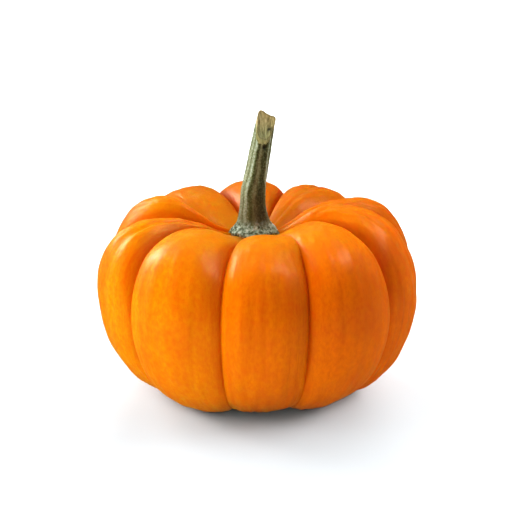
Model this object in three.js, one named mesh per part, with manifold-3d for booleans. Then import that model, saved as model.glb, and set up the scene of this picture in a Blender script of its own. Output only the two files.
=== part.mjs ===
// A small ribbed pumpkin: a squat fruit of ten unequal ribs, and the angular stem that grows from
// the hollow in its crown and ends in a slanted knife cut.
//
// Millimetres, +Z up. The origin is on the surface that the fruit rests on, under its middle.
// Azimuths are in degrees about +Z, from the front (-Y) towards +X.
import * as THREE from "three";
import { mergeVertices } from "three/addons/utils/BufferGeometryUtils.js";
import Module from "manifold-3d";

// ---------- driving dimensions ----------

// Down the middle of a plain rib, from the stem to the blossom end: [radius, height].
const CREST = [
  [0, 47], [6, 47.3], [11, 49.4], [17, 52.2], [24, 53.5], [32, 52.6], [40, 48], [45.9, 38.5],
  [47.7, 27.5], [45.2, 17], [39.2, 7.8], [31, 1.7], [22, -0.6], [14, 1.2], [6, 4.1], [0, 4.9],
];
// Down the bottom of the groove between two ribs, station by station with the crest.
const GROOVE = [
  [0, 47], [6, 46.4], [11, 47.1], [17, 48], [24, 48.4], [31.5, 47.2], [38.5, 43.2], [42.9, 36],
  [43.9, 27.5], [41.5, 18], [36.5, 10], [29, 5], [20, 3.6], [12.5, 4.2], [5.5, 4.8], [0, 4.9],
];

// The ribs, anticlockwise from the front one, with what differs from a plain rib. Each begins at a
// groove, and "from" is the azimuth of that groove on the crown, on the shoulder and at the side.
// "fill" closes the groove on the crown, from 0 to 1. "soft" is how gently the rib's flanks come down
// to its two grooves: 1 is gentle, 0 an ellipse, and less is fuller. In millimetres, "swell" widens
// the rib at the side, "reach" and "lift" carry its shoulder out and up, "sink" lowers it beside the
// stem, and "tuck" draws in its lower shoulder. "crease" is a shallow fold down a double rib: where
// it lies across the rib, from -1 to 1, its depth as a share of the rib's, and its width as a share
// of half the rib's.
const PLAIN_RIB = {
  fill: 0, soft: [0, 0], swell: 0, reach: 0, lift: 0, sink: 0, tuck: 0, crease: [0, 0, 1],
};
const RIBS = [
  { from: [-18.5, -15.5, -13.4], fill: 0.1, soft: [0.15, 0.35], tuck: 1 },
  { from: [29, 23.6, 19], fill: 0.75, soft: [0.2, 0], reach: 1, lift: 1.1, tuck: -0.1 },
  {
    from: [75, 64, 58], soft: [0.5, 0.1], reach: 0.4, lift: 2.3, tuck: -0.8,
    crease: [0.3, 0.06, 0.16],
  },
  { from: [104, 100.5, 100.5], fill: 0.7, swell: 1.8, reach: 1.6, lift: 0.6, tuck: -0.5 },
  { from: [118, 122.5, 128], soft: [0.5, -0.3], lift: 0.8, crease: [0, 0.06, 0.14] },
  { from: [162, 164.3, 166], fill: 0.2, lift: 0.8 },
  { from: [203, 202, 202], soft: [-0.3, 0.1], reach: 1, lift: 0.9 },
  { from: [268, 243, 236], soft: [0.1, 0.3], reach: 0.5, lift: 2.6, sink: 2.3 },
  {
    from: [277, 274, 263], soft: [0, 0.3], swell: 0.3, reach: 2.2, lift: 0.1, sink: 1.5,
    crease: [0.25, 0.12, 0.16],
  },
  { from: [289, 298.5, 306], soft: [0, 0.5], reach: 1.2, lift: 0.5, sink: 1.4, tuck: -0.6 },
].map((rib) => ({ ...PLAIN_RIB, ...rib }));
const RIB_EDGE = 2.2; // the power of a rib's rounding: 2 is an ellipse, and more is fuller
const TUCK_RISE = 0.6; // how far a tucked shoulder rises for each millimetre that it is drawn in

// Where these act, in stations down the crest and groove, and in millimetres.
const TURN_STATIONS = [1.5, 8.5]; // a groove's azimuth goes from the crown's to the side's
const FILL_STATIONS = [0, 2, 4, 5.6]; // a filled groove closes, and opens again
const SINK_STATION = 2.6;
const SINK_REACH = 1.9; // how many stations away it fades out, as for the next two
const SIDE_STATION = 8;
const SIDE_REACH = 7;
const FOOT_STATION = 10.6;
const FOOT_REACH = 2.4;
const LIFT_HEIGHTS = [24, 53.5];
const LIFT_RADII = [0, 20];
const REACH_RADII = [15, 35];

const STEPS_PER_RIB = 12;
const DOWN_STEPS = 36;

// The stem, from inside the fruit to past the cut: [x, y, z] of its middle, and its mean radius.
const STEM_LINE = [
  [-0.95, 0, 43.5], [-0.95, 0, 47.4], [-1, 0, 50.5], [-1.25, 0, 55], [-1.1, 0, 60.5],
  [-0.2, 0.1, 66], [0.75, 0.3, 72], [1.85, 0.5, 78], [3.1, 0.8, 84], [4.4, 1.1, 90],
];
const STEM_RADII = [9, 7.2, 4.75, 3.75, 3.6, 3.25, 2.97, 2.72, 2.62, 2.62];
// Its ridges: the azimuth of each, how far it stands out low down and at the cut as a share of the
// radius, and how many degrees from its top to its flank.
const STEM_RIDGES = [
  [-126, 0.1, 0.35, 25], [-84, 0.12, 0, 15], [-42, 0.13, 0.02, 15], [4, 0.06, -0.08, 20],
  [75, 0.12, 0.02, 17], [124, 0.12, 0.45, 18], [180, 0.08, -0.06, 20],
];
const STEM_CORE = [0.94, 0.85]; // the section between the ridges, low down and at the cut
const STEM_CHANGE = [0.3, 0.7]; // where along the stem the section goes from the one to the other
const STEM_SIDES = 36;
const STEM_STEPS = 24;

// The knife cut across the stem's end: a point on it, how steeply it falls towards the front, and how
// far that fall is turned towards +X.
const CUT_POINT = [2.5, 0.7, 79.4];
const CUT_FALL = 58.5;
const CUT_TURN = 15;
const CUT_BLOCK = 40; // the side of the cube that is cut away

const SEAT_GAP = 0.3; // between the stem's foot and the fruit under it

// ---------- helpers ----------

const wasm = await Module();
wasm.setup();

const { degToRad, euclideanModulo, lerp, radToDeg, smoothstep } = THREE.MathUtils;

// A smooth curve through pairs of numbers, whose getPoint takes a share of the way along.
function curveThrough(pairs) {
  return new THREE.SplineCurve(pairs.map(([a, b]) => new THREE.Vector2(a, b)));
}

// A closed geometry as a solid that can be cut.
function toSolid(geometry) {
  const bare = geometry.clone();
  bare.deleteAttribute("normal");
  bare.deleteAttribute("uv");
  const merged = mergeVertices(bare, 1e-3);
  return new wasm.Manifold(
    new wasm.Mesh({
      numProp: 3,
      vertProperties: merged.attributes.position.array,
      triVerts: new Uint32Array(merged.index.array),
    }),
  );
}

function toGeometry(solid) {
  const { vertProperties, triVerts } = solid.getMesh();
  const geometry = new THREE.BufferGeometry();
  geometry.setAttribute("position", new THREE.BufferAttribute(vertProperties, 3));
  geometry.setIndex(new THREE.BufferAttribute(triVerts, 1));
  geometry.computeVertexNormals();
  return geometry;
}

// ---------- the fruit ----------

const crest = curveThrough(CREST);
const groove = curveThrough(GROOVE);
const grooveTurns = RIBS.map((rib) => curveThrough(rib.from.map((azimuth) => [azimuth, 0])));

// 1 at a middle value, falling smoothly to 0 at a given distance from it.
function bump(value, middle, reach) {
  return 1 - smoothstep(Math.abs(value - middle), 0, reach);
}

// The groove where rib k begins: its azimuth, and how far it is filled towards the crest.
function grooveAt(k, station) {
  const turned = smoothstep(station, ...TURN_STATIONS);
  const [begin, closed, opening, open] = FILL_STATIONS;
  const filled = smoothstep(station, begin, closed) * (1 - smoothstep(station, opening, open));
  const rib = k % RIBS.length;
  return {
    azimuth: grooveTurns[rib].getPoint(turned).x + (k < RIBS.length ? 0 : 360),
    fill: RIBS[rib].fill * filled,
  };
}

// How far a rib stands out of its grooves, at a place across it from -1 to 1: 1 down its middle.
function ribRise(rib, across) {
  const steep = Math.sqrt(1 - Math.abs(across) ** RIB_EDGE);
  const gentle = 1 - across ** 2;
  const soft = lerp(...rib.soft, smoothstep(across, -1, 1));
  const [place, depth, width] = rib.crease;
  const fold = depth * Math.exp(-(((across - place) / width) ** 2));
  return lerp(steep, gentle, soft) * (1 - fold);
}

// The point of the skin at a share of the way round, and a share of the way down from the stem.
function skinPoint(round, down) {
  const place = euclideanModulo(round, 1) * RIBS.length;
  const k = Math.floor(place);
  const rib = RIBS[k];
  const across = -Math.cos(Math.PI * (place - k));
  const share = (across + 1) / 2;
  const station = down * (CREST.length - 1);
  const begin = grooveAt(k, station);
  const end = grooveAt(k + 1, station);

  const ridge = crest.getPoint(down);
  const fill = lerp(begin.fill, end.fill, share);
  const valley = groove.getPoint(down).lerp(ridge, fill);

  const onTop = smoothstep(ridge.y, ...LIFT_HEIGHTS) * smoothstep(ridge.x, ...LIFT_RADII);
  const onShoulder = onTop * smoothstep(ridge.x, ...REACH_RADII);
  const sunk = rib.sink * bump(station, SINK_STATION, SINK_REACH);
  const tucked = rib.tuck * bump(station, FOOT_STATION, FOOT_REACH);
  ridge.x += rib.swell * bump(station, SIDE_STATION, SIDE_REACH);
  ridge.x += rib.reach * onShoulder - tucked;
  ridge.y += rib.lift * onTop - sunk + TUCK_RISE * tucked;

  const { x: radius, y: height } = valley.lerp(ridge, ribRise(rib, across));
  const azimuth = degToRad(lerp(begin.azimuth, end.azimuth, share));
  // The lowest ribs are pressed flat where the fruit stands.
  return [radius * Math.sin(azimuth), -radius * Math.cos(azimuth), Math.max(height, 0)];
}

function fruitGeometry() {
  const geometry = new THREE.SphereGeometry(1, RIBS.length * STEPS_PER_RIB, DOWN_STEPS);
  const { position, uv } = geometry.attributes;
  for (let i = 0; i < position.count; i++) {
    position.setXYZ(i, ...skinPoint(uv.getX(i), 1 - uv.getY(i)));
  }
  return geometry;
}

// ---------- the stem ----------

const stemLine = new THREE.CatmullRomCurve3(
  STEM_LINE.map((point) => new THREE.Vector3(...point)),
  false,
  "catmullrom",
);
const stemRadius = curveThrough(STEM_RADII.map((radius, i) => [i, radius]));

// How far the stem stands out of its middle line at an azimuth and a share of the way along, as a
// share of its mean radius.
function stemSection(azimuth, along) {
  const changed = smoothstep(along, ...STEM_CHANGE);
  let section = lerp(...STEM_CORE, changed);
  for (const [place, low, high, width] of STEM_RIDGES) {
    const away = euclideanModulo(radToDeg(azimuth) - place + 180, 360) - 180;
    section += lerp(low, high, changed) * Math.exp(-((away / width) ** 2));
  }
  return section;
}

function stemGeometry() {
  const geometry = new THREE.CylinderGeometry(1, 1, 1, STEM_SIDES, STEM_STEPS);
  const { position } = geometry.attributes;
  const spot = new THREE.Vector3();
  for (let i = 0; i < position.count; i++) {
    spot.fromBufferAttribute(position, i);
    const along = spot.y + 0.5;
    const azimuth = Math.atan2(spot.x, spot.z);
    const outward = Math.hypot(spot.x, spot.z) * stemSection(azimuth, along);
    const radius = outward * stemRadius.getPoint(along).y;
    const middle = stemLine.getPoint(along);
    const x = middle.x + radius * Math.sin(azimuth);
    const y = middle.y - radius * Math.cos(azimuth);
    position.setXYZ(i, x, y, middle.z);
  }
  return geometry;
}

// The block above the knife cut.
function cutBlock() {
  const geometry = new THREE.BoxGeometry(CUT_BLOCK, CUT_BLOCK, CUT_BLOCK);
  geometry.translate(0, 0, CUT_BLOCK / 2);
  geometry.rotateX(degToRad(CUT_FALL));
  geometry.rotateZ(degToRad(CUT_TURN));
  geometry.translate(...CUT_POINT);
  return geometry;
}

// ---------- the object ----------

const rind = new THREE.MeshStandardMaterial({ name: "rind", color: 0xf08010, roughness: 0.42 });
const dryStem = new THREE.MeshStandardMaterial({ name: "stem", color: 0x7c7a52, roughness: 0.85 });

function namedMesh(name, geometry, material) {
  const mesh = new THREE.Mesh(geometry, material);
  mesh.name = name;
  return mesh;
}

const fruit = toSolid(fruitGeometry());
const stem = toSolid(stemGeometry())
  .subtract(toSolid(cutBlock()))
  .subtract(fruit.translate([0, 0, SEAT_GAP]));

const pumpkin = new THREE.Group();
pumpkin.add(namedMesh("fruit", toGeometry(fruit), rind));
pumpkin.add(namedMesh("stem", toGeometry(stem), dryStem));

export default pumpkin;
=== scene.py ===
"""A small ribbed pumpkin: its orange fruit, and the dry, cut stem that grows from the crown.

Shapes are worked out in millimetres and become metres as each mesh is finished. Azimuths are in
degrees about +Z, from the front (-Y) towards +X.
"""
import functools
import math

import bmesh
import bpy
from mathutils import Matrix, Vector, noise
from mathutils.bvhtree import BVHTree


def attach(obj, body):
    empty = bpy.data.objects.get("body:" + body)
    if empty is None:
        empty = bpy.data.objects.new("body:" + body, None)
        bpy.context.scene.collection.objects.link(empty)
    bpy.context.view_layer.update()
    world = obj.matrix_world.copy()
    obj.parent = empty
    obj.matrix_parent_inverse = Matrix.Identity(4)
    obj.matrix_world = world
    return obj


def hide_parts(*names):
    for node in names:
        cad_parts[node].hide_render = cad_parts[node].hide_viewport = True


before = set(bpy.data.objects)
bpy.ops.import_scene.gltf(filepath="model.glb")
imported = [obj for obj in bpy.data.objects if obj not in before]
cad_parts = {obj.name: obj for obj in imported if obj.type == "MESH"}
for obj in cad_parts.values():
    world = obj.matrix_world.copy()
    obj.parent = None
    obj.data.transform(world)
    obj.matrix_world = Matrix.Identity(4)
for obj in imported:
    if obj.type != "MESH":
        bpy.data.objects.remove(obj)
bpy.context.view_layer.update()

METRES = 0.001  # in a millimetre

# ---------- the fruit's own dimensions ----------

# Down the middle of a plain rib, from the stem to the blossom end: radius and height.
CREST = [
    (0, 47), (6, 47.3), (11, 49.4), (17, 52.2), (24, 53.5), (32, 52.6), (40, 48), (45.9, 38.5),
    (47.7, 27.5), (45.2, 17), (39.2, 7.8), (31, 1.7), (22, -0.6), (14, 1.2), (6, 4.1), (0, 4.9),
]
# Down the bottom of the groove between two ribs, station by station with the crest.
GROOVE = [
    (0, 47), (6, 46.4), (11, 47.1), (17, 48), (24, 48.4), (31.5, 47.2), (38.5, 43.2), (42.9, 36),
    (43.9, 27.5), (41.8, 17.6), (37.4, 8.9), (30, 3.4), (20.8, 1.8), (12.9, 3.2), (5.7, 4.5),
    (0, 4.9),
]
LAST_STATION = len(CREST) - 1

# The ribs, anticlockwise from the front one. Each begins at a groove, and "start" is the azimuth
# of that groove on the crown, on the shoulder and at the side. "fill" closes the groove on the
# crown. "soft" is how gently the flanks come down to the two grooves: 1 is gentle, 0 an ellipse,
# and less is fuller. In millimetres, "swell" widens the rib at the side, "reach" and "lift" carry
# its shoulder out and up, "sink" lowers it beside the stem, and "tuck" draws in its lower shoulder.
# "crease" is a fold down a double rib: its place across the rib, from -1 to 1, its depth as a share
# of the rib's, and its width as a share of half the rib's. "wrinkle" is how deep its flutes are, as
# a share of a plain rib's.
PLAIN_RIB = dict(
    fill=0, soft=(0, 0), swell=0, reach=0, lift=0, sink=0, tuck=0, crease=(0, 0, 1), wrinkle=1
)
RIBS = [
    {**PLAIN_RIB, **rib}
    for rib in (
        dict(start=(-18.5, -15.5, -13.4), fill=0.1, soft=(0.15, 0.35), lift=0.1, tuck=1),
        dict(start=(29, 23.6, 19), fill=0.75, soft=(0.2, 0), reach=1.2, lift=1.4, tuck=-0.1),
        dict(
            start=(75, 64, 58), soft=(0.5, 0.1), swell=-0.2, reach=1, lift=2.5, tuck=-1,
            crease=(0.3, 0.06, 0.16), wrinkle=2.2,
        ),
        dict(
            start=(104, 100.5, 100.5), fill=0.7, swell=1.4, reach=2.5, lift=0.9, tuck=-0.6,
            wrinkle=1.8,
        ),
        dict(start=(118, 122.5, 128), soft=(0.5, -0.3), reach=0.3, lift=1, crease=(0, 0.06, 0.14)),
        dict(start=(162, 164.3, 166), fill=0.2, lift=1.3),
        dict(start=(203, 202, 202), soft=(-0.3, 0.1), reach=1, lift=1),
        dict(start=(268, 243, 236), soft=(0.1, 0.3), swell=-0.9, lift=3.5, sink=2.6),
        dict(
            start=(277, 274, 263), soft=(0, 0.3), swell=-0.1, reach=3.4, lift=0.4, sink=1.5,
            tuck=-0.4, crease=(0.25, 0.12, 0.16), wrinkle=1.4,
        ),
        dict(start=(289, 298.5, 306), soft=(0, 0.5), reach=1.3, lift=0.7, sink=1.4, tuck=-0.6),
    )
]
RIB_EDGE = 2.2  # the power of a rib's rounding: 2 is an ellipse, and more is fuller
TUCK_RISE = 0.6  # how far a tucked shoulder rises for each millimetre that it is drawn in

# Where these act, in stations down the crest and groove, and in millimetres.
TURN_STATIONS = (1.5, 8.5)  # a groove's azimuth goes from the crown's to the side's
CLOSE_STATIONS = (0, 2)  # a filled groove closes, and opens again
OPEN_STATIONS = (4, 5.6)
SINK_BAND = (2.6, 1.9)  # the middle station, and how many stations away it fades out
SIDE_BAND = (8, 7)
FOOT_BAND = (10.6, 2.4)
LIFT_HEIGHTS = (24, 53.5)
LIFT_RADII = (0, 20)
REACH_RADII = (15, 35)

FRUIT_ROUND = 640  # mesh columns, 64 to a rib
FRUIT_DOWN = 152  # mesh rows
FRUIT_MERGE = 1e-4  # vertices as near as this are one, along the seam and at the poles

# The skin's grain runs in long cells from the stem to the blossom end.
GRAIN_ROUND = 26  # cells in a radian of the way round
GRAIN_DOWN = 6  # cells from stem to blossom end, each about 20 mm long
GRAIN_WIDTH = 1.89  # how wide that makes a cell at the fruit's side
GRAIN_MERGE = 14  # the radius inside which cells run together, so that they do not crowd
FLUTES = [(1, 0.24), (0.5, 0.12)]  # their size in cells of the grain, and their depth
FLUTE_RADII = (8, 30)  # they grow from nothing at the first radius to full depth at the second
LUMPS = [(13, 0.3), (5.2, 0.13)]  # low lumps and dimples: their size and depth
SKIN_MEAN = 0.2  # the skin lies this far inside the plain form, so that no lump stands out of it
GROOVE_DEEP = 3.6  # a skin point this far below its crest is at the bottom of a groove
FLUTED_VALLEY = (0.1, 0.9)  # flutes and lumps fade out from the rib into the groove
PAD_HEIGHT = 0.05  # the flat spots that the fruit stands on keep their height
SCAR_DOWN = 0.9  # only the last of the way down can be the corky spot that the blossom left
SCAR_RADIUS = 3.2
SCAR_RISE = 0.5

# ---------- the stem's own dimensions ----------

# From inside the fruit to past the cut: the middle, and the mean radius.
STEM_LINE = [
    (-0.95, 0, 43.5), (-0.95, 0, 47.4), (-1, 0, 50.5), (-1.25, 0, 55), (-1.1, 0, 60.5),
    (-0.2, 0.1, 66), (0.75, 0.3, 72), (1.85, 0.5, 78), (3.1, 0.8, 84), (4.4, 1.1, 90),
]
STEM_RADII = [(9,), (7.2,), (4.75,), (3.75,), (3.6,), (3.25,), (2.97,), (2.72,), (2.62,), (2.62,)]
LIP_ALONG = 1 / (len(STEM_LINE) - 1)  # the foot is as wide as it is here along the stem
# Its ridges: the azimuth of each, how far it stands out low down and at the cut as a share of the
# radius, and its half width.
STEM_RIDGES = [
    (-126, 0.1, 0.35, 25), (-84, 0.12, 0, 15), (-42, 0.13, 0.02, 15), (4, 0.06, -0.08, 20),
    (75, 0.12, 0.02, 17), (124, 0.12, 0.45, 18), (180, 0.08, -0.06, 20),
]
STEM_CORE = (0.94, 0.85)  # the section between the ridges, low down and at the cut
STEM_CHANGE = (0.3, 0.7)  # where along the stem the section goes from the one to the other
# Bands of cork along it: the azimuth and half width of each, and how pale and how brown it is.
STEM_BANDS = [
    (-126, 20, 0.7, 0), (-78, 22, 0.8, 0.2), (-37, 11, 1, 0), (4, 12, 0.25, 0.8), (78, 18, 1, 0),
    (124, 16, 0.7, 0.2), (180, 18, 0.5, 0.4),
]
BAND_WANDER = [(5, 7), (1.7, 4.2)]  # over what length they wander, and how many degrees

STEM_GRAIN_ROUND = 5.5  # cells of fibre in a radian round the stem
STEM_GRAIN_LENGTH = 9
STEM_GRAIN_WIDTH = 0.64  # how wide a cell is where the stem is 7 mm thick
FIBRES = [(1, 0.14), (0.435, 0.098)]  # their size in cells, and their depth
WARTS = [(0.8, 0.3), (0.4, 0.15)]  # the foot's corky warts: their size and depth
WARTS_LEAST = 0.25  # of that depth, above the foot
WART_HEIGHTS = (48, 54)  # they fade out between these
# The side's relief comes in above the lip and goes out below the cut, at these shares of the way.
SIDE_BEGINS = (0, 0.01)
SIDE_ENDS = (0.985, 1)

ABOVE_CROWN = 60
LIP_THICK = 0.35
LIP_LIFT = 0.2
LIP_RAGGED = [(1.3, 0.5)]  # how unevenly the foot's lip stands off the fruit: size and depth
LIP_LOWEST = 46.8  # where the foot bridges a groove
LIP_SPAN = (0, 0.4)  # the lip and the cut lie somewhere in these shares of the way along
CUT_SPAN = (0.5, 1)
FOOT_CORE = (0.5, 45)  # under the foot: its share of the lip's radius, and its height

CUT_POINT = Vector((2.5, 0.7, 79.33))
CUT_FALL = math.radians(58.5)  # how steeply the knife cut falls towards the front
CUT_TURN = math.radians(15)  # how far that fall is turned towards +X
CUT_NORMAL = (
    Matrix.Rotation(CUT_TURN, 3, "Z") @ Matrix.Rotation(CUT_FALL, 3, "X") @ Vector((0, 0, 1))
)
CUT_SKIN = 0.75  # flesh shows this far below the plane of the cut
CUT_DISH = 0.35  # how far the cut's pith has shrunk below its rim
CUT_RIM = 0.35  # the share of the way to the middle over which it sinks
CUT_FIBRE = 0.14
CUT_GRAIN = (3.2, 1.2, 0.8)  # cells of fibre in a millimetre
# Dark nicks in the cut's edge: where, how wide and how deep.
NICKS = [(Vector((3.9, 0.5, 78.6)), 0.55, 0.42), (Vector((2.2, -1.9, 73.7)), 0.6, 0.36)]

STEM_ROUND = 168  # mesh columns
STEM_UNDER = 10  # mesh rows under the foot, up the side, and across the cut
STEM_SIDE = 190
STEM_CAP = 22
STEM_MERGE = 1e-3

# ---------- helpers ----------


def smoothstep(value, low, high):
    share = min(max((value - low) / (high - low), 0), 1)
    return share * share * (3 - 2 * share)


def lerp(low, high, share):
    return low + (high - low) * share


def bump(value, middle, reach):
    """1 at a middle value, falling smoothly to 0 at a given distance from it."""
    return 1 - smoothstep(abs(value - middle), 0, reach)


def bell(azimuth, place, width):
    """1 at a place in degrees, falling away over a width."""
    away = (math.degrees(azimuth) - place + 180) % 360 - 180
    return math.exp(-((away / width) ** 2))


def unevenness(place, layers):
    """How far layers of noise, each with its size and its depth, stand out at a place."""
    return sum(depth * noise.noise(place / size) for size, depth in layers)


def spline(points, share):
    """The point at a share of the way along a smooth curve through the points."""
    last = len(points) - 1
    place = min(max(share, 0), 1) * last
    first = int(place)
    t = place - first
    before, here, after, beyond = (
        points[min(max(first + step, 0), last)] for step in (-1, 0, 1, 2)
    )
    found = []
    for p0, p1, p2, p3 in zip(before, here, after, beyond):
        start, end = (p2 - p0) / 2, (p3 - p1) / 2
        bend = 3 * (p2 - p1) - 2 * start - end
        found.append(p1 + t * (start + t * (bend + t * (2 * (p1 - p2) + start + end))))
    return found


def solve(rises, low, high):
    """The value between low and high where a rising function passes 0."""
    for _ in range(40):
        middle = (low + high) / 2
        if rises(middle) < 0:
            low = middle
        else:
            high = middle
    return (low + high) / 2


def finished_piece(bm, name, materials, node):
    """The mesh as a piece in metres that rides with the fruit's body and stands for a CAD node."""
    bmesh.ops.scale(bm, vec=(METRES,) * 3, verts=bm.verts)
    for face in bm.faces:
        face.smooth = True
    mesh = bpy.data.meshes.new(name)
    bm.to_mesh(mesh)
    bm.free()
    for material in materials:
        mesh.materials.append(material)
    piece = bpy.data.objects.new(name, mesh)
    bpy.context.scene.collection.objects.link(piece)
    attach(piece, "root")
    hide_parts(node)
    return piece


# ---------- the fruit ----------


@functools.cache
def groove_at(k, station):
    """The groove where rib k begins: its azimuth, and how far it is filled towards the crest."""
    rib = RIBS[k % len(RIBS)]
    turned = smoothstep(station, *TURN_STATIONS)
    azimuth = spline([(start,) for start in rib["start"]], turned)[0]
    filled = smoothstep(station, *CLOSE_STATIONS) * (1 - smoothstep(station, *OPEN_STATIONS))
    return azimuth + 360 * (k // len(RIBS)), rib["fill"] * filled


@functools.cache
def rib_rise(k, across):
    """How far rib k stands out of its grooves, at a place across it from -1 to 1."""
    rib = RIBS[k]
    steep = math.sqrt(max(1 - abs(across) ** RIB_EDGE, 0))
    gentle = 1 - across**2
    soft = lerp(*rib["soft"], smoothstep(across, -1, 1))
    place, depth, width = rib["crease"]
    fold = depth * math.exp(-(((across - place) / width) ** 2))
    return lerp(steep, gentle, soft) * (1 - fold)


@functools.cache
def row_curves(down):
    """What a whole row of the skin shares: its station, crest and groove, and how far it is on the
    top, on the shoulder, beside the stem, at the foot and at the side."""
    station = down * LAST_STATION
    crest, groove = spline(CREST, down), spline(GROOVE, down)
    on_top = smoothstep(crest[1], *LIFT_HEIGHTS) * smoothstep(crest[0], *LIFT_RADII)
    on_shoulder = on_top * smoothstep(crest[0], *REACH_RADII)
    bands = (bump(station, *band) for band in (SINK_BAND, FOOT_BAND, SIDE_BAND))
    return station, crest, groove, on_top, on_shoulder, *bands


def skin_point(turn, down):
    """A point of the skin at a share of the way round and down, and how deep in a groove it is."""
    place = turn % 1 * len(RIBS)
    k = int(place)
    rib = RIBS[k]
    across = -math.cos(math.pi * (place - k))
    share = (across + 1) / 2
    station, crest, groove, on_top, on_shoulder, by_stem, at_foot, at_side = row_curves(down)
    begin, begin_fill = groove_at(k, station)
    end, end_fill = groove_at(k + 1, station)

    fill = lerp(begin_fill, end_fill, share)
    low_radius = lerp(groove[0], crest[0], fill)
    low_height = lerp(groove[1], crest[1], fill)
    tucked = rib["tuck"] * at_foot
    high_radius = crest[0] + rib["swell"] * at_side + rib["reach"] * on_shoulder - tucked
    raised = rib["lift"] * on_top - rib["sink"] * by_stem + TUCK_RISE * tucked
    high_height = crest[1] + raised

    rise = rib_rise(k, across)
    radius = lerp(low_radius, high_radius, rise)
    height = max(lerp(low_height, high_height, rise), 0)
    azimuth = math.radians(lerp(begin, end, share))
    depth = math.hypot(high_radius - low_radius, high_height - low_height)
    point = Vector((radius * math.sin(azimuth), -radius * math.cos(azimuth), height))
    return point, depth * (1 - rise)


def wrinkling(turn):
    """How deep the flutes are at a share of the way round, going smoothly from rib to rib."""
    place = turn % 1 * len(RIBS)
    k = int(place)
    from_middle = place - k - 0.5
    beside = RIBS[(k + (1 if from_middle > 0 else -1)) % len(RIBS)]
    share = smoothstep(abs(from_middle), 0.2, 0.8)  # half way at the groove
    return lerp(RIBS[k]["wrinkle"], beside["wrinkle"], share)


def fruit_mesh():
    """A grid rolled up into the plain skin, which then gets its flutes, its lumps and its scar."""
    bm = bmesh.new()
    bmesh.ops.create_grid(bm, x_segments=FRUIT_ROUND, y_segments=FRUIT_DOWN, size=0.5)
    valley_layer, down_layer, wrinkle_layer = (
        bm.verts.layers.float.new(name) for name in ("valley", "down", "wrinkle")
    )
    grain_layer = bm.verts.layers.float_vector.new("grain")
    for vert in bm.verts:
        turn = round((vert.co.x + 0.5) * FRUIT_ROUND) % FRUIT_ROUND / FRUIT_ROUND
        down = round((0.5 - vert.co.y) * FRUIT_DOWN) / FRUIT_DOWN
        vert.co, depth = skin_point(turn, down)
        vert[valley_layer] = min(depth / GROOVE_DEEP, 1)
        vert[down_layer] = down
        vert[wrinkle_layer] = wrinkling(turn)
        azimuth = math.tau * turn
        apart = GRAIN_ROUND * (1 - math.exp(-vert.co.xy.length / GRAIN_MERGE))
        vert[grain_layer] = (
            apart * math.cos(azimuth), apart * math.sin(azimuth), GRAIN_DOWN * down
        )
    bmesh.ops.remove_doubles(bm, verts=bm.verts, dist=FRUIT_MERGE)
    bmesh.ops.recalc_face_normals(bm, faces=bm.faces)
    bm.normal_update()
    for vert in bm.verts:
        fluted = vert[wrinkle_layer] * smoothstep(vert.co.xy.length, *FLUTE_RADII)
        flute = fluted * unevenness(vert[grain_layer], FLUTES)
        on_rib = 1 - smoothstep(vert[valley_layer], *FLUTED_VALLEY)
        rise = on_rib * (flute + unevenness(vert.co, LUMPS)) - SKIN_MEAN
        height = vert.co.z
        vert.co += vert.normal * rise
        if height < PAD_HEIGHT:
            vert.co.z = height
        from_scar = vert.co.xy.length / SCAR_RADIUS
        if vert[down_layer] > SCAR_DOWN and from_scar < 1:
            vert.co.z -= SCAR_RISE * (1 - from_scar**4)
    return bm


# ---------- the stem ----------


def stem_section(azimuth, along):
    """How far the stem stands out of its middle, as a share of its mean radius."""
    changed = smoothstep(along, *STEM_CHANGE)
    section = lerp(*STEM_CORE, changed)
    for place, low, high, width in STEM_RIDGES:
        section += lerp(low, high, changed) * bell(azimuth, place, width)
    return section


def stem_side(azimuth, along):
    """A point of the plain stem's side."""
    x, y, z = spline(STEM_LINE, along)
    radius = stem_section(azimuth, along) * spline(STEM_RADII, along)[0]
    return Vector((x + radius * math.sin(azimuth), y - radius * math.cos(azimuth), z))


def above_cut(spot):
    return (spot - CUT_POINT).dot(CUT_NORMAL)


def foot_spot(azimuth, outward, lip, share):
    """A point under the foot, at a share of the way from its middle to its lip."""
    middle = Vector(spline(STEM_LINE, lip))
    edge = stem_side(azimuth, lip)
    radius = (edge - middle).length
    core, core_height = FOOT_CORE
    if share < 0.5:
        reach, height = 2 * share * core, core_height
    else:
        turned = (share - 0.5) * math.pi
        reach = lerp(core, 1, math.sin(turned))
        height = lerp(core_height, edge.z, 1 - math.cos(turned))
    pole = Vector(spline(STEM_LINE, LIP_ALONG))  # where all the columns meet
    spot = pole.lerp(middle, share) + outward * radius * reach
    spot.z = height
    return spot


def band_tones(azimuth, spot):
    """How pale and how brown the bands of cork make a point of the stem."""
    wandered = azimuth + math.radians(unevenness(spot, BAND_WANDER))
    tones = [(bell(wandered, place, width), *tone) for place, width, *tone in STEM_BANDS]
    pale = sum(near * pale for near, pale, _ in tones)
    brown = sum(near * brown for near, _, brown in tones)
    return min(pale, 1), min(brown, 1)


def stem_relief(spot, grain, up):
    """How far fibres and corky warts stand out of the side, at a share of the way up it."""
    on_side = smoothstep(up, *SIDE_BEGINS) * (1 - smoothstep(up, *SIDE_ENDS))
    corky = lerp(1, WARTS_LEAST, smoothstep(spot.z, *WART_HEIGHTS))
    return on_side * (unevenness(grain, FIBRES) + corky * unevenness(spot, WARTS))


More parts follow.
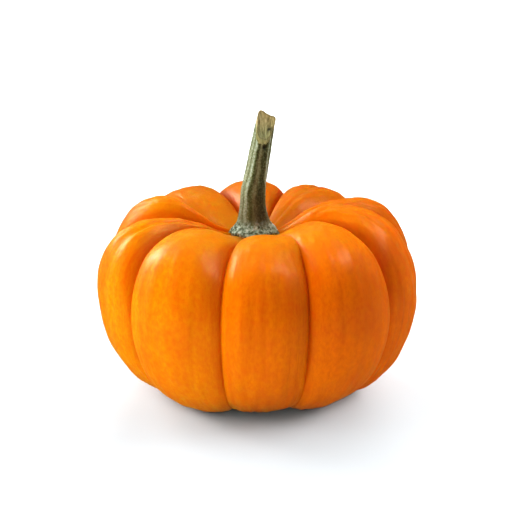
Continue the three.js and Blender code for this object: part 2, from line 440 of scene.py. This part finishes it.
def stem_mesh(fruit):
    """A grid rolled up from under the foot to the middle of the cut, and seated on the fruit."""
    skin = BVHTree.FromBMesh(fruit)
    rows = STEM_UNDER + STEM_SIDE + STEM_CAP

    @functools.cache
    def column(turn):
        """A mesh column's azimuth, and where its lip and its cut lie along the stem."""
        azimuth = math.tau * turn
        spot = stem_side(azimuth, LIP_ALONG)
        hit = skin.ray_cast(Vector((spot.x, spot.y, ABOVE_CROWN)), Vector((0, 0, -1)))[0]
        uneven = abs(unevenness(Vector((spot.x, spot.y, 0)), LIP_RAGGED))
        height = max(hit.z, LIP_LOWEST) + LIP_LIFT + uneven + LIP_THICK
        lip = solve(lambda along: spline(STEM_LINE, along)[2] - height, *LIP_SPAN)
        cut = solve(lambda along: above_cut(stem_side(azimuth, along)), *CUT_SPAN)
        return azimuth, lip, cut

    bm = bmesh.new()
    bmesh.ops.create_grid(bm, x_segments=STEM_ROUND, y_segments=rows, size=0.5)
    pale_layer, brown_layer, height_layer, rim_layer, nick_layer = (
        bm.verts.layers.float.new(name) for name in ("pale", "brown", "height", "rim", "nick")
    )
    grain_layer = bm.verts.layers.float_vector.new("grain")
    for vert in bm.verts:
        turn = round((vert.co.x + 0.5) * STEM_ROUND) % STEM_ROUND / STEM_ROUND
        row = round((vert.co.y + 0.5) * rows)
        azimuth, lip, cut = column(turn)
        outward = Vector((math.sin(azimuth), -math.cos(azimuth), 0))
        up = (row - STEM_UNDER) / STEM_SIDE
        rim = 0  # 1 at the edge of the cut, and 0 at its middle
        if up < 0:
            spot = foot_spot(azimuth, outward, lip, row / STEM_UNDER)
        elif up <= 1:
            spot = stem_side(azimuth, lerp(lip, cut, up))
        else:
            rim = (rows - row) / STEM_CAP
            spot = CUT_POINT + (stem_side(azimuth, cut) - CUT_POINT) * rim
        grain = Vector((
            STEM_GRAIN_ROUND * outward.x, STEM_GRAIN_ROUND * outward.y, spot.z / STEM_GRAIN_LENGTH
        ))
        vert.co = spot + outward * stem_relief(spot, grain, up)
        if up > 1:
            sunk = smoothstep(1 - rim, 0, CUT_RIM)
            fibres = noise.noise(Vector([along * cells for along, cells in zip(spot, CUT_GRAIN)]))
            vert.co -= CUT_NORMAL * sunk * (CUT_DISH + CUT_FIBRE * fibres)
        nicked = 0
        for centre, width, depth in NICKS:
            near = math.exp(-(((spot - centre).length / width) ** 2))
            vert.co -= (outward + CUT_NORMAL) * depth * near
            nicked = max(nicked, near)
        vert[grain_layer] = grain
        vert[pale_layer], vert[brown_layer] = band_tones(azimuth, spot)
        vert[height_layer] = spot.z
        vert[rim_layer] = rim
        vert[nick_layer] = nicked
    for face in bm.faces:
        face.material_index = int(all(above_cut(vert.co) > -CUT_SKIN for vert in face.verts))
    bmesh.ops.remove_doubles(bm, verts=bm.verts, dist=STEM_MERGE)
    bmesh.ops.recalc_face_normals(bm, faces=bm.faces)
    return bm


# ---------- materials ----------


def srgb(code):
    """A six-digit sRGB hex colour as linear numbers."""
    parts = (int(code[i : i + 2], 16) / 255 for i in (0, 2, 4))
    return (*(c / 12.92 if c <= 0.04045 else ((c + 0.055) / 1.055) ** 2.4 for c in parts), 1)


def feed(tree, node, inputs):
    """Gives each input of a node its value or its link."""
    for key, value in inputs.items():
        if isinstance(value, bpy.types.NodeSocket):
            tree.links.new(value, node.inputs[key])
        else:
            node.inputs[key].default_value = value


def add(tree, kind, output, settings=None, inputs=None, stops=None):
    """The output of a new node with its settings, its inputs, and a ramp's (place, colour)s."""
    node = tree.nodes.new(kind)
    for name, value in (settings or {}).items():
        setattr(node, name, value)
    feed(tree, node, inputs or {})
    if stops:
        ramp = node.color_ramp.elements
        while len(ramp) < len(stops):
            ramp.new(0.5)
        for element, (place, code) in zip(ramp, stops):
            element.position = place
            element.color = srgb(code)
    return node.outputs[output]


def new_material(name):
    material = bpy.data.materials.new(name)
    material.use_nodes = True
    tree = material.node_tree
    return material, tree, tree.nodes["Principled BSDF"]


# The sizes of the patterns in the rind, in millimetres.
STREAK_WIDTH = 2.7  # lengthwise streaks of deeper and paler orange
LINE_WIDTH = 0.945  # the finer lines between them
MOTTLE_WIDTH = 0.727  # fine mottling
MOTTLE_SHORTER = 7  # it is this much shorter than the lines are, for its width
CLOUD_SIZE = 13.33  # cloudy blotches


def rind_material():
    """Ripe pumpkin rind, from flesh that light gets into under a waxy skin: satin rather than
    glossy, finely mottled and faintly streaked."""
    material, tree, shader = new_material("pumpkin rind")
    valley, down = (
        add(tree, "ShaderNodeAttribute", "Fac", dict(attribute_name=name))
        for name in ("valley", "down")
    )
    grain = add(tree, "ShaderNodeAttribute", "Vector", dict(attribute_name="grain"))
    short_grain = add(
        tree, "ShaderNodeMapping", "Vector", None,
        {"Vector": grain, "Scale": (1, 1, MOTTLE_SHORTER)},
    )
    place = add(tree, "ShaderNodeTexCoord", "Object")
    rightward, backward = (
        add(tree, "ShaderNodeSeparateXYZ", axis, None, {"Vector": place}) for axis in "XY"
    )
    streaks, lines, mottle, clouds = (
        add(
            tree, "ShaderNodeTexNoise", "Fac", None,
            {"Vector": vector, "Scale": scale, "Detail": detail, "Roughness": roughness},
        )
        for vector, scale, detail, roughness in (
            (grain, GRAIN_WIDTH / STREAK_WIDTH, 2, 0.5),
            (grain, GRAIN_WIDTH / LINE_WIDTH, 3, 0.6),
            (short_grain, GRAIN_WIDTH / MOTTLE_WIDTH, 3, 0.6),
            (place, 1 / (CLOUD_SIZE * METRES), 4, 0.5),
        )
    )
    # Cloudy blotches, drawn out into streaks below the shoulder.
    uneven = add(tree, "ShaderNodeMath", 0, dict(operation="SUBTRACT"), {0: streaks, 1: 0.5})
    streakiness = add(
        tree, "ShaderNodeMapRange", "Result", None,
        {"Value": down, "From Min": 0.15, "From Max": 0.35, "To Min": 0, "To Max": 0.8},
    )
    blotches = add(
        tree, "ShaderNodeMath", 0, dict(operation="MULTIPLY_ADD"),
        {0: uneven, 1: streakiness, 2: clouds},
    )
    # Painted light: the left of the fruit, which the light falls on, is a yellower orange than the
    # shaded right.
    lit_side_share = add(
        tree, "ShaderNodeMapRange", "Result", None,
        {"Value": rightward, "From Min": -0.048, "From Max": 0.022},
    )
    colour = add(
        tree, "ShaderNodeMix", 2, dict(data_type="RGBA"),
        {0: lit_side_share, 6: srgb("DC9A02"), 7: srgb("EE8001")},
    )
    # The tints over it, in turn: what each follows, from where to where and how smoothly, how
    # strong it is at the two ends, and its colour.
    tints = [
        (blotches, (0.3, 0.75), "SMOOTHSTEP", (0, 0.55), "D66402"),
        (mottle, (0.35, 0.65), "LINEAR", (0, 0.5), "DA6003"),
        (down, (0.3, 0.44), "SMOOTHSTEP", (0.3, 0), "DCA00C"),  # painted light: yellower lit shoulders
        (down, (0.06, 0.2), "SMOOTHSTEP", (0.35, 0), "C06808"),  # painted shade: duller in the hollow by the stem
        (backward, (-0.012, 0.03), "SMOOTHSTEP", (0, 0.6), "BA5E02"),  # painted shade: deeper at the back
        (valley, (0.55, 1), "SMOOTHSTEP", (0, 0.4), "CE5200"),  # painted shade: redder in the grooves
        (down, (0.962, 0.975), "SMOOTHSTEP", (0, 1), "8A6A40"),  # the corky blossom scar
    ]
    for value, (begin, end), easing, (at_begin, at_end), code in tints:
        strength = add(
            tree, "ShaderNodeMapRange", "Result", dict(interpolation_type=easing),
            {
                "Value": value, "From Min": begin, "From Max": end,
                "To Min": at_begin, "To Max": at_end,
            },
        )
        colour = add(
            tree, "ShaderNodeMix", 2, dict(data_type="RGBA"),
            {0: strength, 6: colour, 7: srgb(code)},
        )
    wax = add(
        tree, "ShaderNodeMapRange", "Result", None,
        {"Value": blotches, "From Min": 0.3, "From Max": 0.7, "To Min": 0.32, "To Max": 0.44},
    )
    relief = {}
    for height, strength, depth in ((streaks, 0.15, 0.6), (lines, 0.3, 0.4), (mottle, 0.35, 0.2)):
        relief["Normal"] = add(
            tree, "ShaderNodeBump", "Normal", None,
            {"Height": height, "Strength": strength, "Distance": depth * METRES, **relief},
        )
    feed(tree, shader, {
        "Base Color": colour, "Roughness": wax, **relief, "IOR": 1.4, "Specular IOR Level": 0.18,
        "Specular Tint": srgb("FFEACC"), "Subsurface Weight": 0.6,
        "Subsurface Radius": (1, 0.25, 0.05), "Subsurface Scale": 8 * METRES,
    })
    return material


# The sizes of the patterns in the stem and its cut, in millimetres.
FIBRE_WIDTH = 0.291
SPECK_SIZE = 0.526  # flecks of earth and cork
BLOTCH_SIZE = 1.176  # pale warts on the foot
CUT_FIBRE_SIZE = 1.429
CUT_FIBRE_STRETCH = (2.4, 0.5, 0.4)  # its fibres are fine across, and long up the cut
CUT_FIBRE_LEAN = math.radians(-12)


def stem_material():
    """Dried squash stem: dull cork over green fibre, pale in bands and flecked with dark earth."""
    material, tree, shader = new_material("dry corky stem")
    pale, brown, height, nick = (
        add(tree, "ShaderNodeAttribute", "Fac", dict(attribute_name=name))
        for name in ("pale", "brown", "height", "nick")
    )
    grain = add(tree, "ShaderNodeAttribute", "Vector", dict(attribute_name="grain"))
    place = add(tree, "ShaderNodeTexCoord", "Object")
    fibres, specks, blotches = (
        add(
            tree, "ShaderNodeTexNoise", "Fac", None,
            {"Vector": vector, "Scale": scale, "Detail": detail, "Roughness": roughness},
        )
        for vector, scale, detail, roughness in (
            (grain, STEM_GRAIN_WIDTH / FIBRE_WIDTH, 5, 0.65),
            (place, 1 / (SPECK_SIZE * METRES), 3, 0.7),
            (place, 1 / (BLOTCH_SIZE * METRES), 4, 0.7),
        )
    )
    fibrous = add(
        tree, "ShaderNodeMath", 0, dict(operation="MULTIPLY_ADD"), {0: fibres, 1: 1.1, 2: pale}
    )
    flecked = add(
        tree, "ShaderNodeMath", 0, dict(operation="MULTIPLY_ADD"), {0: specks, 1: 2, 2: fibrous}
    )
    tone = add(
        tree, "ShaderNodeMapRange", "Result", None,
        {"Value": flecked, "From Min": 1.15, "From Max": 3.05},
    )
    colour = add(
        tree, "ShaderNodeValToRGB", "Color", None, {"Fac": tone},
        [(0, "26280F"), (0.22, "4B4C24"), (0.45, "78805A"), (0.72, "B2BCA0"), (1, "D6DCD0")],
    )
    browned = add(tree, "ShaderNodeMath", 0, dict(operation="MULTIPLY"), {0: brown, 1: fibres})
    # The first is painted shade that darkens the stem low down; the second is where the foot's pale
    # cork shows.
    low_shade, on_foot = (
        add(
            tree, "ShaderNodeMapRange", "Result", dict(interpolation_type="SMOOTHSTEP"),
            {"Value": height, "From Min": low, "From Max": high, "To Min": most, "To Max": 0},
        )
        for low, high, most in ((52, 66, 0.45), (48.5, 52.5, 1))
    )
    cork = add(
        tree, "ShaderNodeValToRGB", "Color", None, {"Fac": blotches},
        [(0.37, "343824"), (0.45, "74866C"), (0.54, "AEC2AC"), (0.64, "E4EEE4")],
    )
    for strength, over in (
        (browned, srgb("9A8868")), (low_shade, srgb("4A4220")), (on_foot, cork), (nick, srgb("1C1A0C"))
    ):
        colour = add(
            tree, "ShaderNodeMix", 2, dict(data_type="RGBA"), {0: strength, 6: colour, 7: over}
        )
    relief = {}
    for height, strength, depth in ((fibres, 0.5, 0.4), (specks, 0.4, 0.2)):
        relief["Normal"] = add(
            tree, "ShaderNodeBump", "Normal", None,
            {"Height": height, "Strength": strength, "Distance": depth * METRES, **relief},
        )
    feed(tree, shader, {
        "Base Color": colour, "Roughness": 0.8, **relief, "IOR": 1.45, "Specular IOR Level": 0.35,
    })
    return material


def cut_material():
    """Knife-cut stem flesh that has dried: matt tan fibre, greener lower down, with a brown rim."""
    material, tree, shader = new_material("dried stem flesh")
    height, rim, nick = (
        add(tree, "ShaderNodeAttribute", "Fac", dict(attribute_name=name))
        for name in ("height", "rim", "nick")
    )
    place = add(tree, "ShaderNodeTexCoord", "Object")
    laid = add(
        tree, "ShaderNodeMapping", "Vector", None,
        {"Vector": place, "Rotation": (0, CUT_FIBRE_LEAN, 0), "Scale": CUT_FIBRE_STRETCH},
    )
    fibres = add(
        tree, "ShaderNodeTexNoise", "Fac", None,
        {"Vector": laid, "Scale": 1 / (CUT_FIBRE_SIZE * METRES), "Detail": 4, "Roughness": 0.7},
    )
    colour, green = (
        add(tree, "ShaderNodeValToRGB", "Color", None, {"Fac": fibres}, stops)
        for stops in (
            [(0.34, "8A7A46"), (0.5, "BCA870"), (0.64, "D8C694")],
            [(0.34, "5E5A34"), (0.5, "9A9560"), (0.64, "B8B484")],
        )
    )
    low, edge = (
        add(
            tree, "ShaderNodeMapRange", "Result", dict(interpolation_type="SMOOTHSTEP"),
            {
                "Value": value, "From Min": begin, "From Max": end,
                "To Min": at_begin, "To Max": at_end,
            },
        )
        for value, begin, end, at_begin, at_end in (
            (height, 77, 81.5, 1, 0), (rim, 0.82, 1, 0, 0.7)
        )
    )
    for strength, over in ((low, green), (edge, srgb("6C552C")), (nick, srgb("241D0E"))):
        colour = add(
            tree, "ShaderNodeMix", 2, dict(data_type="RGBA"), {0: strength, 6: colour, 7: over}
        )
    relief = add(
        tree, "ShaderNodeBump", "Normal", None,
        {"Height": fibres, "Strength": 0.6, "Distance": 0.3 * METRES},
    )
    feed(tree, shader, {"Base Color": colour, "Roughness": 0.85, "Normal": relief})
    return material


TOOTH_SIZE = 0.833  # millimetres: coarser than real paper's, which would not show


def paper_material():
    """Matt paper, faintly toothed. It is a mid grey that strong light lifts to white, so that
    little of the fruit's orange shows in it."""
    material, tree, shader = new_material("matt paper")
    place = add(tree, "ShaderNodeTexCoord", "Object")
    tooth = add(
        tree, "ShaderNodeTexNoise", "Fac", None,
        {"Vector": place, "Scale": 1 / (TOOTH_SIZE * METRES), "Detail": 2},
    )
    relief = add(
        tree, "ShaderNodeBump", "Normal", None,
        {"Height": tooth, "Strength": 0.03, "Distance": 0.1 * METRES},
    )
    feed(tree, shader, {"Base Color": srgb("8A8C8E"), "Roughness": 0.9, "Normal": relief})
    return material


# ---------- the object ----------

fruit_bm = fruit_mesh()
stem_bm = stem_mesh(fruit_bm)
fruit = finished_piece(fruit_bm, "pumpkin_fruit", [rind_material()], "fruit")
stem = finished_piece(stem_bm, "pumpkin_stem", [stem_material(), cut_material()], "stem")

# ---------- the studio, in metres ----------

FLOOR_RADIUS = 1.6
CAMERA_PLACE = Vector((0, -0.5638, 0.2327))
CAMERA_AIM = Vector((-0.0007, 0, 0.0400))
SENSOR = 36  # millimetres, as the lens
LENS = 141.9
GAMMA = 0.85
ROOM_LIGHT = 0.1
LIT_POINT = Vector((0, 0, 0.03))
PUMPKIN_LIGHT_DISTANCE = 1.2
FLOOR_LIGHT_DISTANCE = 2.5
FLOOR_LIGHT_SIZE = (2.0, 0.9)
PLAIN_LIGHT = (1, 1, 1)
COOL_LIGHT = (0.8, 0.98, 1)  # under the fruit's near side, to balance the orange it throws there

# The soft lights that fall on the pumpkin alone: the azimuth and elevation of each, its width and
# height, its power, and whether it shows in matt or in glossy reflection.
PUMPKIN_LIGHTS = {
    "front softbox": ((30, 15), (0.7, 0.4), 1.3, "matt"),
    "left softbox": ((270, 8), (1.4, 0.3), 9.2, "matt"),
    "left front softbox": ((315, 18), (0.7, 0.4), 7.4, "matt"),
    "left top softbox": ((235, 64), (0.9, 0.6), 11, "matt"),
    "right back softbox": ((157, 57), (0.7, 0.4), 8.6, "matt"),
    "right low softbox": ((118, 12), (0.7, 0.3), 6, "matt"),
    "left strip": ((231, 26), (0.45, 0.45), 18, "gloss"),
    "right strip": ((97, 60), (0.3, 0.6), 18, "gloss"),
    "back glint": ((188, 30), (0.35, 0.3), 0.4, "gloss"),
}
# The azimuth, elevation, power and colour of those that fall on the floor alone.
FLOOR_LIGHTS = [
    (0, 32, 39, COOL_LIGHT), (15, 14, 52, COOL_LIGHT), (75, 43, 38, PLAIN_LIGHT),
    (112, 22, 180, PLAIN_LIGHT), (165, 14, 220, PLAIN_LIGHT), (225, 14, 305, PLAIN_LIGHT),
    (264, 24, 125, PLAIN_LIGHT), (315, 43, 34, PLAIN_LIGHT),
]

floor_bm = bmesh.new()
bmesh.ops.create_circle(floor_bm, cap_ends=True, segments=96, radius=FLOOR_RADIUS)
floor_mesh = bpy.data.meshes.new("floor")
floor_bm.to_mesh(floor_mesh)
floor_bm.free()
floor_mesh.materials.append(paper_material())
floor = bpy.data.objects.new("floor", floor_mesh)
floor.visible_glossy = False  # so that no white paper shines in the rind
bpy.context.scene.collection.objects.link(floor)


def lit_set(name, pieces):
    """A collection of what a light may fall on."""
    lit = bpy.data.collections.new(name)
    for piece in pieces:
        lit.objects.link(piece)
    return lit


def softbox(name, lit, aim, distance, size, power, colour=PLAIN_LIGHT, rays="both"):
    """A soft area light that faces the fruit from an azimuth and elevation and lights one set."""
    azimuth, elevation = (math.radians(angle) for angle in aim)
    light = bpy.data.lights.new(name, "AREA")
    light.shape = "RECTANGLE"
    light.size, light.size_y = size
    light.energy = power
    light.color = colour
    box = bpy.data.objects.new(name, light)
    toward = Vector((
        math.sin(azimuth) * math.cos(elevation), -math.cos(azimuth) * math.cos(elevation),
        math.sin(elevation),
    ))
    box.location = LIT_POINT + toward * distance
    box.rotation_euler = (-toward).to_track_quat("-Z", "Y").to_euler()
    box.visible_diffuse = rays != "gloss"
    box.visible_glossy = rays != "matt"
    box.light_linking.receiver_collection = lit
    bpy.context.scene.collection.objects.link(box)


lit_pumpkin = lit_set("lit pumpkin", [fruit, stem])
for name, (aim, size, power, rays) in PUMPKIN_LIGHTS.items():
    softbox(name, lit_pumpkin, aim, PUMPKIN_LIGHT_DISTANCE, size, power, rays=rays)
lit_floor = lit_set("lit floor", [floor])
for azimuth, elevation, power, colour in FLOOR_LIGHTS:
    softbox(
        f"floor softbox {azimuth}", lit_floor, (azimuth, elevation), FLOOR_LIGHT_DISTANCE,
        FLOOR_LIGHT_SIZE, power, colour,
    )

# The room gives a dim even light, and looks white beyond the edge of the floor.
world = bpy.data.worlds.new("studio")
world.use_nodes = True
seen = add(world.node_tree, "ShaderNodeLightPath", "Is Camera Ray")
strength = add(
    world.node_tree, "ShaderNodeMapRange", "Result", None, {"Value": seen, "To Min": ROOM_LIGHT}
)
background = world.node_tree.nodes["Background"]
feed(world.node_tree, background, {"Color": (1, 1, 1, 1), "Strength": strength})
bpy.context.scene.world = world

lens = bpy.data.cameras.new("camera")
lens.sensor_width = SENSOR
lens.lens = LENS
camera = bpy.data.objects.new("camera", lens)
camera.location = CAMERA_PLACE
camera.rotation_euler = (CAMERA_AIM - CAMERA_PLACE).to_track_quat("-Z", "Y").to_euler()
bpy.context.scene.collection.objects.link(camera)
bpy.context.scene.camera = camera
bpy.context.scene.view_settings.view_transform = "Standard"
bpy.context.scene.view_settings.gamma = GAMMA
